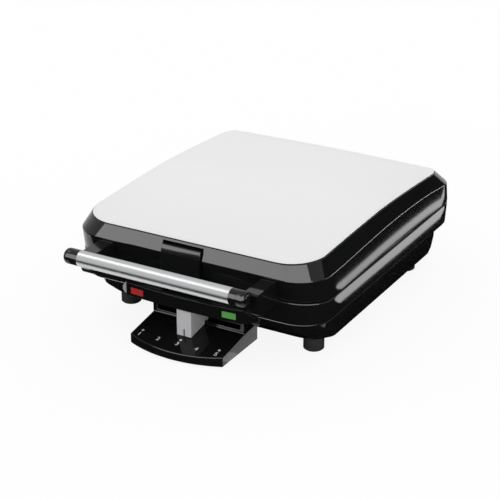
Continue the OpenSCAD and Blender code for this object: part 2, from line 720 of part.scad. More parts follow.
// Slide control behind the neck: a body with a lengthwise groove that the carriage's tab runs in
module browning_control() color("#50545a") place() difference() {
    union() {
        block(-travel - 5, travel + 5, neck_f + tongue_wall + 6.4, neck_f + tongue_wall + 14,
            slot_z - 3, slot_z + slot_h + 3);
        // Flange above the carriage, held against the back of the tongue's front wall
        block(-travel - 5, travel + 5, neck_f + tongue_wall + touch, neck_f + tongue_wall + 14,
            slot_z + slot_h + 2 + knob_gap, slot_z + slot_h + 2 + knob_gap + mount_t);
    }
    block(-travel - 3, travel + 3, neck_f + tongue_wall + 6, neck_f + tongue_wall + 10,
        slot_z + 0.6, slot_z + slot_h - 0.6);
}

// ---- Sensors and supply ----

module thermostat() color("#d8d4c8") place() {
    rod_z(9, tray_bottom - touch - 5, tray_bottom - touch, 0, cav_y);
    rod_z(5, reflector_z + reflector_t + touch, tray_bottom - touch - 4.9, 0, cav_y);
}

module thermal_fuse() color("#c9a15a") place() {
    rod_x(2.4, -9, 9, cav_y + 50, tray_bottom - touch - 2.4);
    rod_x(0.7, -12, 12, cav_y + 50, tray_bottom - touch - 2.4);
}

module terminal_block() color("#efe9dc") place() difference() {
    block(20, 44, cover_b - 34, cover_b - 18, clear_h + touch, clear_h + 15);
    for (x = [26, 32, 38]) rod_z(2, clear_h + 8, clear_h + 16, x, cover_b - 26);
}

module cord_gland() color("#202022") place() difference() {
    union() {
        rod_y(gland_d/2, rear_y - 18, rear_y - 8, gland_x, gland_z);
        rod_y(gland_d/2 + 2, rear_y - 9, rear_y - 5, gland_x, gland_z);
    }
    rod_y(cord_bore/2, rear_y - 20, rear_y, gland_x, gland_z);
}

// ---- Handle ----

// Outline of an arm's block in Y and Z: rear face on the lid's slanted front wall, rounded lower nose
module arm_side() {
    wall_low = front_y + (base_front - front_y)*(crease_z - arm_low)/lid_rim_h;
    back_low = min(wall_low, base_front) - touch;
    back_top = front_y + (base_front - front_y)*(crease_z - arm_top)/lid_rim_h - touch;
    polygon([[back_low, arm_low], [back_top, arm_top], [arm_front + 1.5, arm_top],
        [arm_front, arm_top - 1.5], [arm_front, arm_low + arm_nose], [arm_front + arm_nose, arm_low]]);
    translate([arm_front + arm_nose, arm_low + arm_nose]) circle(arm_nose);
}

// Neck that sweeps up from the block to the eye around the tube's axis
module neck_side() {
    polygon([[arm_front + 3, arm_top - 0.6], [bar_y + bar_d/4, bar_z + 0.43*bar_d],
        [bar_y - 0.35*bar_d, bar_z - 0.35*bar_d], [bar_y + 0.4*bar_d, bar_z - 0.75*bar_d],
        [arm_front + 1.5, arm_low + 4.5]]);
    translate([bar_y, bar_z]) circle(bar_d/2);
}

// Right arm; the left one is its mirror image
module handle_arm() difference() {
    union() {
        across(arm_in, arm_in + arm_w) arm_side();
        across(arm_in, eye_out) neck_side();
        rod_x(bar_d/2 - tube_wall - touch, arm_in - spigot_l, arm_in + over, bar_y, bar_z);
        rod_x(collar_r, eye_out - over, eye_out + collar_l, bar_y, bar_z);
    }
    rod_x(rod_d/2 + touch, 0, arms_w, bar_y, bar_z);
    rod_x(nut_r + 0.4, eye_out, arms_w, bar_y, bar_z);
    for (z = screw_zs) rod_y(screw_d/2 + press_fit, -14, 10, arm_mid, z);
}

module handle_arm_left() color(black) place() scale([-1, 1, 1]) handle_arm();
module handle_arm_right() color(black) place() handle_arm();

module handle_tube() color("#b8babd") place() difference() {
    rod_x(bar_d/2, -arm_in + touch, arm_in - touch, bar_y, bar_z);
    rod_x(bar_d/2 - tube_wall, -arm_in - over, arm_in + over, bar_y, bar_z);
}

// Tie rod through both eyes, with a nut inside each collar
module handle_rod() color("silver") place() {
    rod_x(rod_d/2, -eye_out - collar_l - 1, eye_out + collar_l + 1, bar_y, bar_z);
    both_sides() translate([eye_out + touch, bar_y, bar_z]) rotate([0, 90, 0])
        cylinder(r = nut_r, h = nut_t, $fn = 6);
}

// Round-ended caps pressed over the collars, carrying on the line of the tube
module handle_caps() color(black) place() both_sides() difference() {
    translate([eye_out + touch, bar_y, bar_z]) rotate([0, 90, 0]) rotate_extrude() {
        l = cap_end - eye_out - touch;
        square([bar_d/2, l - cap_r]);
        square([bar_d/2 - cap_r, l]);
        intersection() {
            translate([bar_d/2 - cap_r, l - cap_r]) circle(cap_r);
            square([bar_d, l]);
        }
    }
    rod_x(collar_r + press_fit, eye_out - over, eye_out + collar_l + 2, bar_y, bar_z);
}

module handle_screws() color("silver") place()
    for (x = [-arm_mid, arm_mid], z = screw_zs) {
        y = front_y + (base_front - front_y)*(crease_z - z)/lid_rim_h + wall + 1;
        rod_y(screw_d/2, -12, y, x, z);
        rod_y(screw_head/2, y, y + 2.2, x, z);
    }

// ---- Latch ----

// Side of the lever: leaning top, upright face, a bow forwards at the hook, and the pivot boss
module latch_side() {
    translate([pivot_y, pivot_z]) circle(boss_r);
    polygon([[pivot_y - 3.2, latch_top - 0.4], [latch_face + 3.4, latch_top],
        [latch_face + 2.4, latch_top - 0.6], [latch_face + 0.5, crease_z + 3.4], [latch_face, crease_z],
        [latch_face - 0.4, crease_z - 11], [hook_face + 0.6, crease_z - 20],
        [hook_face, crease_z - 27], [hook_face, hook_top - hook_t], [hook_face + 1.2, hook_top - hook_t - 1],
        [hook_tip, hook_top - hook_t - 1], [hook_tip, hook_top - 1.2], [hook_tip - 1, hook_top],
        [hook_face + latch_t, hook_top], [hook_face + latch_t, crease_z - 22],
        [latch_face + latch_t - 0.4, crease_z - 12], [latch_face + latch_t + 0.2, crease_z - 3],
        [pivot_y - 3, pivot_z - 4], [pivot_y, pivot_z]]);
}

module latch_lever() color(black) place() difference() {
    across(latch_x - latch_w/2, latch_x + latch_w/2) latch_side();
    rod_x(latch_pin_d/2 + run_fit, latch_x - latch_w, latch_x + latch_w, pivot_y, pivot_z);
}

module latch_pin() color("silver") place() rod_x(latch_pin_d/2, latch_x - pin_hw, latch_x + pin_hw, pivot_y, pivot_z);

// Strike riveted to the base's front wall: a leaf with a lip that the hook turns in under
module latch_catch() color("silver") place() {
    leaf_y = base_front - touch - 2;
    across(latch_x - 18, latch_x + 18) polygon([[base_front - touch, fascia_high + 1.5],
        [base_front - touch, lip_top], [lip_front, lip_top], [lip_front, lip_top - lip_t],
        [leaf_y, lip_top - lip_t], [leaf_y, fascia_high + 1.5]]);
    for (x = rivet_xs) {
        rod_y(1.5, leaf_y + 0.5, base_front + wall + 2, x, rivet_z);
        rod_y(2.4, base_front + wall + touch, base_front + wall + 2, x, rivet_z);
    }
}

// ---- Hinge ----

// Leaf on the pocket's back wall with a lug that carries the barrel; up is +1 for the lid, -1 for the base
module hinge_leaf(up) {
    z0 = axis_z + up*(split_gap/2 + touch);
    block(-pocket_w/2 + 2, pocket_w/2 - 2, pocket_y + touch, pocket_y + touch + leaf_t,
        min(z0, z0 + up*14), max(z0, z0 + up*14));
}

module hinge_lug(x0, x1, up, bore) {
    z0 = axis_z + up*(split_gap/2 + touch);
    difference() {
        union() {
            rod_x(barrel_r, x0, x1, axis_y, axis_z);
            block(x0, x1, pocket_y + leaf_t, axis_y, min(z0, z0 + up*5.2), max(z0, z0 + up*5.2));
        }
        rod_x(bore, x0 - over, x1 + over, axis_y, axis_z);
    }
}

module hinge_brackets() color("silver") place() both_sides() translate([hinge_x, 0, 0]) {
    hinge_leaf(-1);
    hinge_lug(-pocket_w/2 + 2, -lug_w/2, -1, pin_d/2 + press_fit);
    hinge_lug(lug_w/2, pocket_w/2 - 2, -1, pin_d/2 + press_fit);
}

module hinge_arms() color("silver") place() both_sides() translate([hinge_x, 0, 0]) {
    hinge_leaf(1);
    hinge_lug(-lug_w/2 + hinge_gap, lug_w/2 - hinge_gap, 1, pin_d/2 + run_fit);
}

module hinge_pins() color("silver") place() both_sides()
    rod_x(pin_d/2, hinge_x - pocket_w/2 + 1.6, hinge_x + pocket_w/2 - 1.6, axis_y, axis_z);

base_housing();
bottom_cover();
bottom_screws();
feet();
lower_grid_plate();
lower_heating_element();
lower_reflector();
lower_plate_screws();
control_fascia();
control_tongue();
control_cover();
control_screws();
red_lens();
green_lens();
indicator_lamps();
circuit_board();
browning_control();
slider_knob();
slider_carriage();
thermostat();
thermal_fuse();
terminal_block();
cord_gland();
latch_catch();
hinge_brackets();
hinge_pins();
lid_housing();
lid_panel();
upper_grid_plate();
upper_heating_element();
upper_reflector();
upper_plate_screws();
handle_arm_left();
handle_arm_right();
handle_tube();
handle_rod();
handle_caps();
handle_screws();
latch_lever();
latch_pin();
hinge_arms();
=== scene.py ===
import math
import bpy
import bmesh
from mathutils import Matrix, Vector


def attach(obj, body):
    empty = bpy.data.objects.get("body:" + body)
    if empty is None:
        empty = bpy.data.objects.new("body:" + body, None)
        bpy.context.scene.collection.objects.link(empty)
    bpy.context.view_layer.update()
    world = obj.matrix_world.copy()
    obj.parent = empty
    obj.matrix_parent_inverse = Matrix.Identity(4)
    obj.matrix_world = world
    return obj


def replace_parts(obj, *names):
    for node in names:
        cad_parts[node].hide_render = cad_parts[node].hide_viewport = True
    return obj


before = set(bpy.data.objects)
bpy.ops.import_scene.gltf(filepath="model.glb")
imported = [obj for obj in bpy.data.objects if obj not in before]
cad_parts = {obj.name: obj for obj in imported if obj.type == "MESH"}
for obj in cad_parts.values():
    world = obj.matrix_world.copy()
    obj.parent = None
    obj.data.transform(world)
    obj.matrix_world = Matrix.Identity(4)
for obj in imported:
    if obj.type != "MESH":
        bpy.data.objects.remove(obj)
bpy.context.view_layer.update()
print("frame loaded,", len(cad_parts), "nodes")

# Sizes that the housings share, in millimetres from the middle of the steel panel's front edge
body = dict(
    width=282.0, depth=340.0, shiftY=-136.1, split=73.5, gap=1.0, wall=2.8, edge=1.0, clear=9.5,
    corner=38.0, panelCorner=36.0, tuck=7.5, rimDraft=1.3, panelThick=0.9, panelGap=0.25,
    bevelSide=11.0, bevelFront=6.5, bevelRear=16.5, creaseLid=97.5, creaseBase=49.5,
    crownTop=119.2, crownMiddle=155.0, sideCrown=1.8, sideRise=90, rearRoll=22.0, rollLength=20,
    frontFall=4.5, frontBend=1.4, rearFall=8.5, rearBend=1.5,
    swell=5.0, swellFrom=30, swellTrim=46, swellBend=1.5, drop=7.0, dropFrom=230,
)
meshing = dict(cornerSteps=18, sideSteps=28, endSteps=14, roundSteps=48,
               support=0.45, supportFrom=4.0, carveSlack=0.0001, sharpFrom=48)
halfWidth = body["width"] / 2
frontY = -body["bevelFront"]
rearY = frontY + body["depth"]
panelHalf = halfWidth - body["bevelSide"]
panelBack = rearY - body["bevelRear"]
rollY = panelBack - body["rollLength"]
lidBottom = body["split"] + body["gap"] / 2
baseTop = body["split"] - body["gap"] / 2


# A socket that takes part in an expression; each operator adds its Math node
class Value:
    def __init__(self, network, socket):
        self.network, self.socket = network, socket

    def combine(self, operation, first, second):
        return self.network.add("ShaderNodeMath", dict(operation=operation), {0: first, 1: second})

    def __add__(self, other): return self.combine("ADD", self, other)
    def __radd__(self, other): return self.combine("ADD", other, self)
    def __sub__(self, other): return self.combine("SUBTRACT", self, other)
    def __rsub__(self, other): return self.combine("SUBTRACT", other, self)
    def __mul__(self, other): return self.combine("MULTIPLY", self, other)
    def __rmul__(self, other): return self.combine("MULTIPLY", other, self)
    def highest(self, other): return self.combine("MAXIMUM", self, other)


class Network:
    def __init__(self, tree):
        self.tree = tree

    def add(self, kind, settings=None, inputs=None, output=0):
        node = self.tree.nodes.new(kind)
        for key, setting in (settings or {}).items():
            if key == "stops":
                ramp = node.color_ramp
                while len(ramp.elements) < len(setting):
                    ramp.elements.new(0.5)
                for element, (place, tone) in zip(ramp.elements, setting):
                    element.position = place
                    element.color = (*tone, 1)
            else:
                setattr(node, key, setting)
        for key, value in (inputs or {}).items():
            self.feed(node.inputs[key], value)
        return Value(self, node.outputs[output]) if node.outputs else None

    def feed(self, socket, value):
        if isinstance(value, Value):
            self.tree.links.new(value.socket, socket)
        else:
            socket.default_value = value

    def sees(self):  # 1 for rays that look at the surface, 0 for those that light the object
        camera, glossy, through = [
            self.add("ShaderNodeLightPath", output=kind)
            for kind in ("Is Camera Ray", "Is Glossy Ray", "Is Transmission Ray")]
        return camera.highest(glossy).highest(through)


class Finish(Network):
    def __init__(self, name):
        self.material = bpy.data.materials.new(name)
        self.material.use_nodes = True
        super().__init__(self.material.node_tree)
        self.shader = self.tree.nodes["Principled BSDF"]

    def place(self, scale):
        where = self.add("ShaderNodeTexCoord", output="Object")
        return self.add("ShaderNodeMapping", {}, {"Vector": where, "Scale": scale})

    def noise(self, scale, detail=3.0, stretch=(1, 1, 1)):
        return self.add("ShaderNodeTexNoise", {}, {
            "Vector": self.place(stretch), "Scale": scale, "Detail": detail})

    def tint(self, mask, low, high):
        return self.add("ShaderNodeMix", dict(data_type="RGBA"),
                        {0: mask, 6: (*low, 1), 7: (*high, 1)}, output=2)

    def relief(self, height, strength, distance):
        return self.add("ShaderNodeBump", {}, {
            "Height": height, "Strength": strength, "Distance": distance})

    def set(self, sockets):
        for key, value in sockets.items():
            self.feed(self.shader.inputs[key], value)
        return self


def mouldedGloss(name, low, high, roughness, peel, specular=0.24, cloudScale=14, rippleScale=420,
                 spread=0.04, depth=0.00004):
    finish = Finish(name)
    finish.shader.inputs["Specular IOR Level"].default_value = specular
    cloud = finish.noise(cloudScale, 4)
    ripple = finish.noise(rippleScale, 2)
    return finish.set({
        "Base Color": finish.tint(cloud, low, high), "Roughness": roughness + cloud * spread,
        "Normal": finish.relief(ripple, peel, depth)})


def brushed(name, low, high, roughness, stretch, fine, cloudScale=5, streakShare=0.7,
            cloudShare=0.3, spread=0.12, strength=0.06, depth=0.00005):
    finish = Finish(name)
    streak = finish.noise(fine, 5, stretch)
    cloud = finish.noise(cloudScale, 2)
    finish.shader.inputs["Metallic"].default_value = 1.0
    return finish.set({
        "Base Color": finish.tint(streak * streakShare + cloud * cloudShare, low, high),
        "Roughness": roughness + streak * spread, "Normal": finish.relief(streak, strength, depth)})


def coated(name, low, high, roughness, speckleScale=900, patchScale=22, spread=0.14,
           strength=0.22, depth=0.00008):
    finish = Finish(name)
    speckle = finish.noise(speckleScale, 3)
    patch = finish.noise(patchScale, 3)
    return finish.set({
        "Base Color": finish.tint(speckle, low, high), "Roughness": roughness + patch * spread,
        "Normal": finish.relief(speckle, strength, depth)})


def grainy(name, low, high, roughness, scale, bump, metallic=0.0, cloudScale=18,
           grainShare=0.6, cloudShare=0.4, spread=0.08, depth=0.00006):
    finish = Finish(name)
    grain = finish.noise(scale, 3)
    cloud = finish.noise(cloudScale, 2)
    finish.shader.inputs["Metallic"].default_value = metallic
    return finish.set({
        "Base Color": finish.tint(grain * grainShare + cloud * cloudShare, low, high),
        "Roughness": roughness + cloud * spread, "Normal": finish.relief(grain, bump, depth)})


def lampLens(name, low, high, glow, ribScale=160.0, ribShare=0.25, coat=0.6, roughness=0.16,
             spread=0.08):
    finish = Finish(name)
    wave = finish.add("ShaderNodeTexWave", dict(wave_type="BANDS", bands_direction="X"), {
        "Vector": finish.place((1, 1, 1)), "Scale": ribScale, "Distortion": 0.0}, output=1)
    ribs = wave * ribShare
    finish.shader.inputs["Coat Weight"].default_value = coat
    finish.shader.inputs["Emission Strength"].default_value = glow
    colour = finish.tint(ribs, low, high)
    return finish.set({"Base Color": colour, "Emission Color": colour,
                       "Roughness": roughness + ribs * spread})


finishes = {
    "black_moulding": mouldedGloss(
        "blackMoulding", (0.0042, 0.0045, 0.0044), (0.0078, 0.0083, 0.0081), 0.04, 0.02),
    "brushed_lid": brushed(
        "brushedLid", (0.74, 0.74, 0.745), (0.80, 0.80, 0.805), 0.24, (1, 60, 1), 26),
    "satin_tube": brushed(
        "satinTube", (0.42, 0.425, 0.43), (0.50, 0.505, 0.51), 0.25, (1, 40, 40), 14),
    "zinc": brushed("zincPlate", (0.50, 0.50, 0.52), (0.68, 0.68, 0.71), 0.28, (1, 1, 6), 60),
    "nonstick": coated("darkCoating", (0.022, 0.022, 0.024), (0.055, 0.055, 0.060), 0.36),
    "element_sheath": grainy(
        "heaterSheath", (0.15, 0.14, 0.13), (0.30, 0.28, 0.26), 0.50, 500, 0.2, 0.7),
    "sheet": brushed("plainSheet", (0.66, 0.67, 0.69), (0.80, 0.81, 0.83), 0.34, (20, 1, 1), 40),
    "foot_rubber": grainy(
        "footRubber", (0.018, 0.018, 0.019), (0.040, 0.040, 0.042), 0.55, 800, 0.3),
    "red_lens": lampLens("redLens", (0.40, 0.020, 0.020), (0.58, 0.055, 0.050), 0.05),
    "green_lens": lampLens("greenLens", (0.090, 0.31, 0.070), (0.17, 0.46, 0.13), 0.05),
    "knob_grey": grainy("knobGrey", (0.54, 0.54, 0.555), (0.66, 0.66, 0.675), 0.34, 600, 0.12),
    "board_green": grainy("boardGreen", (0.03, 0.16, 0.06), (0.06, 0.26, 0.11), 0.40, 300, 0.1),
    "ceramic": grainy("paleCeramic", (0.74, 0.71, 0.65), (0.84, 0.82, 0.77), 0.55, 260, 0.2),
    "lamp": grainy("clearLamp", (0.80, 0.78, 0.70), (0.90, 0.88, 0.82), 0.15, 200, 0.02),
    "brass_case": grainy(
        "brassCase", (0.58, 0.44, 0.18), (0.74, 0.59, 0.28), 0.30, 300, 0.08, 1.0),
}
markPaint = grainy("markPaint", (0.72, 0.72, 0.73), (0.84, 0.84, 0.85), 0.50, 900, 0.1)
pointerPaint = grainy("pointerPaint", (0.020, 0.020, 0.021), (0.045, 0.045, 0.047), 0.45, 700, 0.1)
print("finishes made,", len(finishes) + 2)


def quarter(cx, cy, rx, ry, start):
    steps = meshing["cornerSteps"]
    return [(cx + rx * math.cos(math.radians(start + 90 * i / steps)),
             cy + ry * math.sin(math.radians(start + 90 * i / steps))) for i in range(steps + 1)]


def between(a, b, n):
    return [(a[0] + (b[0] - a[0]) * i / (n + 1), a[1] + (b[1] - a[1]) * i / (n + 1))
            for i in range(1, n + 1)]


# A rounded rectangle of half width w from front f to back b; tuck flattens its front corners
def outline(w, f, b, r, tuck=0.0):
    side, end = meshing["sideSteps"], meshing["endSteps"]
    return (quarter(w - r, f + r, r, r - tuck, -90) + between((w, f + r), (w, b - r), side)
            + quarter(w - r, b - r, r, r, 0) + between((w - r, b), (-w + r, b), end)
            + quarter(-w + r, b - r, r, r, 90) + between((-w, b - r), (-w, f + r), side)
            + quarter(-w + r, f + r, r, r - tuck, 180)
            + between((-w + r, f + tuck), (w - r, f + tuck), end))


def flat(w, f, b, r, z, tuck=0.0):
    return [(x, y, z) for x, y in outline(w, f, b, r, tuck)]


def crown(x, y):  # height of the steel panel's top
    middle = body["crownMiddle"]
    if y < middle:
        fall = body["frontFall"] * ((middle - y) / middle) ** body["frontBend"]
    else:
        fall = (body["rearFall"] * ((y - middle) / (panelBack - middle)) ** body["rearBend"]
                + max(0.0, y - rollY) ** 2 / (2 * body["rearRoll"]))
    rise = body["sideCrown"] * math.sin(math.pi / 2 * max(0.0, min(1.0, y / body["sideRise"])))
    return body["crownTop"] - body["sideCrown"] - fall + rise * (1 - (x / panelHalf) ** 2)


def crease(y):  # height of the line where the lid's bevel starts
    turn = 180 * (y - body["swellFrom"]) / (body["depth"] - body["swellTrim"])
    swell = max(0.0, math.sin(math.radians(turn))) ** body["swellBend"]
    drop = max(0.0, (y - body["dropFrom"]) / (rearY - body["dropFrom"])) ** 2
    return body["creaseLid"] + body["swell"] * swell - body["drop"] * drop


def crownRing(share, inset, drop):
    middle = body["crownMiddle"]
    points = outline((panelHalf - inset) * share, middle + (inset - middle) * share,
                     middle + (panelBack - inset - middle) * share,
                     (body["panelCorner"] - inset) * share)
    return [(x, y, crown(x, y) - drop) for x, y in points]


def creaseRing(inset, front, lift):
    points = outline(halfWidth - inset, frontY + front, rearY - inset, body["corner"] - inset)
    return [(x, y, crease(y) + lift) for x, y in points]


def blendRings(a, b, share, lift):
    return [tuple(p + (q - p) * share + (lift if k == 2 else 0)
                  for k, (p, q) in enumerate(zip(u, v))) for u, v in zip(a, b)]


def toFrame(point):
    return Vector((point[0], point[1] + body["shiftY"], point[2])) / 1000


def linkMesh(name, mesh):
    data = bpy.data.meshes.new(name)
    mesh.to_mesh(data)
    mesh.free()
    piece = bpy.data.objects.new(name, data)
    bpy.context.scene.collection.objects.link(piece)
    return piece


def loftMesh(name, rings, closed):
    mesh = bmesh.new()
    rows = [[mesh.verts.new(toFrame(p)) for p in ring] for ring in rings]
    count = len(rows[0])
    last = len(rows) if closed else len(rows) - 1
    for i in range(last):
        low, high = rows[i], rows[(i + 1) % len(rows)]
        for j in range(count):
            k = (j + 1) % count
            mesh.faces.new((low[j], low[k], high[k], high[j]))
    if not closed:
        for row, back in ((rows[0], True), (rows[-1], False)):
            centre = mesh.verts.new(sum((v.co for v in row), Vector()) / count)
            for j in range(count):
                k = (j + 1) % count
                mesh.faces.new((centre, row[k], row[j]) if back else (centre, row[j], row[k]))
    bmesh.ops.recalc_face_normals(mesh, faces=mesh.faces)
    return linkMesh(name, mesh)


def gapOf(a, b):
    return sum((Vector(p) - Vector(q)).length for p, q in zip(a, b)) / len(a)


# Close pairs of rings at the ends of wide bands, so that shading turns only at the edges
def supported(rings, closed):
    firm = []
    last = len(rings) if closed else len(rings) - 1
    for i in range(last):
        a, b = rings[i], rings[(i + 1) % len(rings)]
        firm.append(a)
        reach = gapOf(a, b)
        if reach > meshing["supportFrom"]:
            share = meshing["support"] / reach
            firm += [blendRings(a, b, share, 0), blendRings(a, b, 1 - share, 0)]
    return firm if closed else firm + [rings[-1]]


def planSlab(name, points, z0, z1, hole=None):
    mesh = bmesh.new()
    outer = [[mesh.verts.new(toFrame((x, y, z))) for x, y in points] for z in (z0, z1)]
    count = len(points)
    for j in range(count):
        k = (j + 1) % count
        mesh.faces.new((outer[0][j], outer[0][k], outer[1][k], outer[1][j]))
    if hole:
        inner = [[mesh.verts.new(toFrame((x, y, z))) for x, y in hole] for z in (z0, z1)]
        for j in range(count):
            k = (j + 1) % count
            mesh.faces.new((inner[0][k], inner[0][j], inner[1][j], inner[1][k]))
            mesh.faces.new((outer[0][k], outer[0][j], inner[0][j], inner[0][k]))
            mesh.faces.new((outer[1][j], outer[1][k], inner[1][k], inner[1][j]))
    else:
        mesh.faces.new(list(reversed(outer[0])))
        mesh.faces.new(outer[1])
    bmesh.ops.recalc_face_normals(mesh, faces=mesh.faces)
    return linkMesh(name, mesh)


def roundPlan(x, y, r):
    steps = meshing["roundSteps"]
    return [(x + r * math.cos(2 * math.pi * i / steps), y + r * math.sin(2 * math.pi * i / steps))
            for i in range(steps)]


def prism(name, profile, x0, x1):
    mesh = bmesh.new()
    ends = [[mesh.verts.new(toFrame((x, y, z))) for y, z in profile] for x in (x0, x1)]
    mesh.faces.new(ends[0])
    mesh.faces.new(list(reversed(ends[1])))
    for j in range(len(profile)):
        k = (j + 1) % len(profile)
        mesh.faces.new((ends[0][k], ends[0][j], ends[1][j], ends[1][k]))
    bmesh.ops.recalc_face_normals(mesh, faces=mesh.faces)
    return linkMesh(name, mesh)


def slab(name, x0, x1, y0, y1, z0, z1):
    return prism(name, [(y0, z0), (y1, z0), (y1, z1), (y0, z1)], x0, x1)


def reachOf(piece):
    return max(abs(vertex.co.x) for vertex in piece.data.vertices)


# Adds and cuts with the manifold solver: the exact one can drop the outer skin without an error
def carve(piece, joined, cuts):
    wanted = reachOf(piece)
    for tool, operation in [(t, "UNION") for t in joined] + [(t, "DIFFERENCE") for t in cuts]:
        step = piece.modifiers.new("step", "BOOLEAN")
        step.operation, step.solver, step.object = operation, "MANIFOLD", tool
    bpy.context.view_layer.update()
    shaped = bpy.data.meshes.new_from_object(
        piece.evaluated_get(bpy.context.evaluated_depsgraph_get()))
    piece.modifiers.clear()
    piece.data = shaped
    if not shaped.vertices or reachOf(piece) < wanted - meshing["carveSlack"]:
        raise ValueError(piece.name + " lost its outer skin while it was carved")
    for tool in joined + cuts:
        bpy.data.objects.remove(tool)
    shadeSmooth(piece)
    piece.data.set_sharp_from_angle(angle=math.radians(meshing["sharpFrom"]))


def soften(piece, width, angle=30.0, segments=2, weldReach=0.000002):
    weld = piece.modifiers.new("weld", "WELD")
    weld.merge_threshold = weldReach
    bevel = piece.modifiers.new("bevel", "BEVEL")
    bevel.width, bevel.segments, bevel.limit_method = width, segments, "ANGLE"
    bevel.angle_limit = math.radians(angle)
    bevel.use_clamp_overlap = True
    normals = piece.modifiers.new("normals", "WEIGHTED_NORMAL")
    normals.keep_sharp = False


def shadeSmooth(piece):
    for face in piece.data.polygons:
        face.use_smooth = True


def dress(piece, finish):
    piece.data.materials.clear()
    piece.data.materials.append(finish.material)


def seatShell(shell, slotName, bodyName, replaced):
    dress(shell, finishes[slotName])
    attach(shell, bodyName)
    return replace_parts(shell, replaced)


# The ledges that carry the waffle plates, and the closed strips behind them
deck = dict(ring=(139.6, 2.4, 332.1, 36.6), hole=(127.7, 14.8, 276.0, 10.0), low=66.5, high=69.5,
            rearFrom=284.5, rearSkip=0.5, rearLow=68.5, rearHigh=72.6)


def deckPieces(mirror):
    def level(z): return 2 * body["split"] - z if mirror else z
    half, start = deck["ring"][0], deck["rearFrom"]
    ring = outline(*deck["ring"])
    rear = ([(half, start)] + [p for p in ring if p[1] > start + deck["rearSkip"]]
            + [(-half, start)])
    heights = sorted((level(deck["low"]), level(deck["high"])))
    rearHeights = sorted((level(deck["rearLow"]), level(deck["rearHigh"])))
    return [planSlab("deckLedge", ring, *heights, outline(*deck["hole"])),
            planSlab("rearDeck", rear, *rearHeights)]


hinge = dict(x=90.0, pocket=40.0, front=324.0, inset=0.3, past=10)


def hingeWalls(z0, z1):
    half = hinge["pocket"] / 2 + body["wall"]
    back = rearY - body["wall"] / 2 - hinge["inset"]
    return [slab("hingeWall", s * hinge["x"] - half, s * hinge["x"] + half,
                 hinge["front"] - body["wall"], back, z0, z1) for s in (-1, 1)]


def hingeCuts(z0, z1):
    half = hinge["pocket"] / 2
    return [slab("hingeCut", s * hinge["x"] - half, s * hinge["x"] + half,
                 hinge["front"], rearY + hinge["past"], z0, z1) for s in (-1, 1)]


# Rings are share, inset and drop under the steel; the crease's are inset, front and lift
lid = dict(
    skirt=((0.35, 20), (0.75, 20), (1, 20), (1, 10)),
    seat=((1, 0), (1, 5), (1, 11), (1, 20), (0.75, 20), (0.35, 20)),
    creaseInside=2, creaseLow=(1.4, 0.2, -0.5), creaseHigh=(1.9, 0.35, 0.45), bevelShare=0.5,
    bevelLift=0.06, lip=-1, lipDrop=0.5, hingeWall=(74.8, 92.5), hingeCut=(73.0, 89.5),
)
latch = dict(x=-5.6, width=44.0, gap=1.2, pivotY=0.5, low=88.0, high=109.6, deep=7, step=2.5,
             nose=1.5, wallFront=-1.1, cutAhead=20)  # wallFront stays ahead of pivotY - nose


def lidRings():
    w, f, r, t, e = halfWidth, frontY, body["corner"], body["wall"], body["edge"]
    under = body["panelThick"] + body["panelGap"]
    lip = crownRing(1, lid["lip"], body["panelThick"] + lid["lipDrop"])
    creaseHigh = creaseRing(*lid["creaseHigh"])
    inside = [crownRing(share, inset, under + t) for share, inset in lid["skirt"]]
    seat = [crownRing(share, inset, under) for share, inset in lid["seat"]]
    return inside + [
        crownRing(1, t, under + t), creaseRing(t + lid["creaseInside"], t, -t / 2),
        flat(w - t, f + t, rearY - t, r - t, lidBottom, body["tuck"]),
        flat(w - e, f + e, rearY - e, r - e, lidBottom, body["tuck"]),
        flat(w, f, rearY, r, lidBottom + e, body["tuck"]),
        creaseRing(*lid["creaseLow"]), creaseHigh,
        blendRings(creaseHigh, lip, lid["bevelShare"], lid["bevelLift"]), lip] + seat


def latchPocket(grow, front):
    half = latch["width"] / 2 + latch["gap"] + grow
    low, high, back = latch["low"] - grow, latch["high"], latch["pivotY"] + latch["deep"] + grow
    return prism("latchPocket", [
        (front, low), (back, low), (back, high - latch["step"] + grow / 2),
        (latch["pivotY"] - latch["nose"], high + grow / 2), (front, high + grow / 2)],
        latch["x"] - half, latch["x"] + half)


def lidShell():
    shell = loftMesh("lidShell", supported(lidRings(), False), False)
    carve(shell,
          hingeWalls(*lid["hingeWall"]) + [latchPocket(body["wall"], latch["wallFront"])]
          + deckPieces(True),
          hingeCuts(*lid["hingeCut"]) + [latchPocket(0, frontY - latch["cutAhead"])])
    return seatShell(shell, "black_moulding", "lid", "lid_housing")


# The steel's rings: its underside at full thickness, its rolled edge, then its top
steel = dict(
    under=((0.35, 20), (0.75, 20), (1, 20), (1, 11), (1, 5), (1, 0.4)), edgeShare=0.6,
    top=((1, 0.3, 0.15), (1, 1, 0), (1, 5, 0), (1, 11, 0), (1, 20, 0), (0.88, 20, 0),
         (0.75, 20, 0.02), (0.55, 20, 0.06), (0.35, 20, 0.10), (0.15, 20, 0.15)),
)


def steelSkin():
    thick = body["panelThick"]
    skin = loftMesh("steelSkin", [crownRing(share, inset, thick) for share, inset in steel["under"]]
                    + [crownRing(1, 0, thick * steel["edgeShare"])]
                    + [crownRing(*row) for row in steel["top"]], False)
    shadeSmooth(skin)
    return seatShell(skin, "brushed_lid", "lid", "lid_panel")


